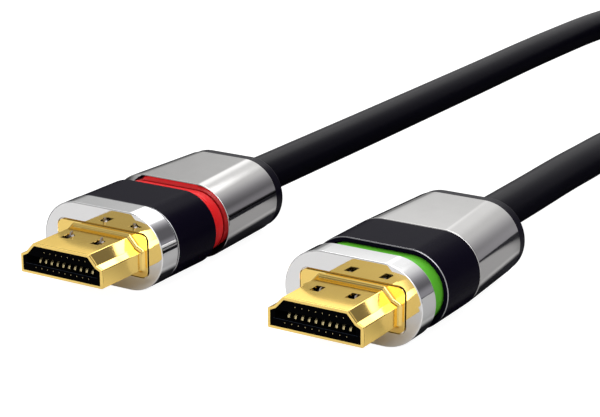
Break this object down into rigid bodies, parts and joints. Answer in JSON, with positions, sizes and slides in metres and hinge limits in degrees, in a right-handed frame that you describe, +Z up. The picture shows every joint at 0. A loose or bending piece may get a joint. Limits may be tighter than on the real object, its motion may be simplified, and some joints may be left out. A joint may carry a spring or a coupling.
{
  "type": "hdmi cable",
  "caption": "Round black video cable with a gold-shelled push-pull locking plug on each end, its spare length in a tied coil.",
  "frame": {"origin": "on the floor, midway between the two plugs across and halfway along the plugs' length", "axes": "+X from the left plug to the right plug, +Y from the plugs' mouths towards the cable, +Z up"},
  "size_m": [0.0956, 0.2702, 0.0138],
  "materials": {
    "gold_plate": "bright gold plate",
    "contact_gold": "gold plate",
    "insert_plastic": "matte black",
    "polished_chrome": "mirror polish",
    "green_band": "smooth mid green",
    "red_band": "smooth bright red",
    "grey_metal": "polished grey",
    "black_satin": "satin black",
    "spring_steel": "bright",
    "cable_jacket": "satin black",
    "tie_fabric": "matte black"
  },
  "bodies": {
    "cable": {"left_shell": "gold_plate", "left_insert": "insert_plastic", "left_lower_contacts": "contact_gold", "left_upper_contacts": "contact_gold", "left_nose": "polished_chrome", "left_core": "insert_plastic", "left_green_band": "green_band", "left_red_band": "red_band", "left_hood": "grey_metal", "left_end_cap": "black_satin", "right_shell": "gold_plate", "right_insert": "insert_plastic", "right_lower_contacts": "contact_gold", "right_upper_contacts": "contact_gold", "right_nose": "polished_chrome", "right_core": "insert_plastic", "right_green_band": "green_band", "right_red_band": "red_band", "right_hood": "grey_metal", "right_end_cap": "black_satin", "cable_run_left": "cable_jacket", "cable_run_right": "cable_jacket", "cable_coil": "cable_jacket", "coil_tie": "tie_fabric"},
    "left_sleeve": {"left_sleeve": "black_satin"},
    "right_sleeve": {"right_sleeve": "black_satin"},
    "left_latch": {"left_latch_hooks": "spring_steel"},
    "right_latch": {"right_latch_hooks": "spring_steel"}
  },
  "joints": [
    {"name": "left_sleeve_slide", "type": "slide", "parent": "cable", "child": "left_sleeve", "axis": [0, 1, 0], "range_m": [0, 0.0031]},
    {"name": "right_sleeve_slide", "type": "slide", "parent": "cable", "child": "right_sleeve", "axis": [0, 1, 0], "range_m": [-0.0031, 0]},
    {"name": "left_latch_lift", "type": "slide", "parent": "cable", "child": "left_latch", "axis": [0, 0, 1], "range_m": [-0.0006, 0]},
    {"name": "right_latch_lift", "type": "slide", "parent": "cable", "child": "right_latch", "axis": [0, 0, 1], "range_m": [0, 0.0006]}
  ],
  "couplings": [
    {"joint": "left_latch_lift", "follows": "left_sleeve_slide", "ratio": -0.1935},
    {"joint": "right_latch_lift", "follows": "right_sleeve_slide", "ratio": -0.1935}
  ]
}
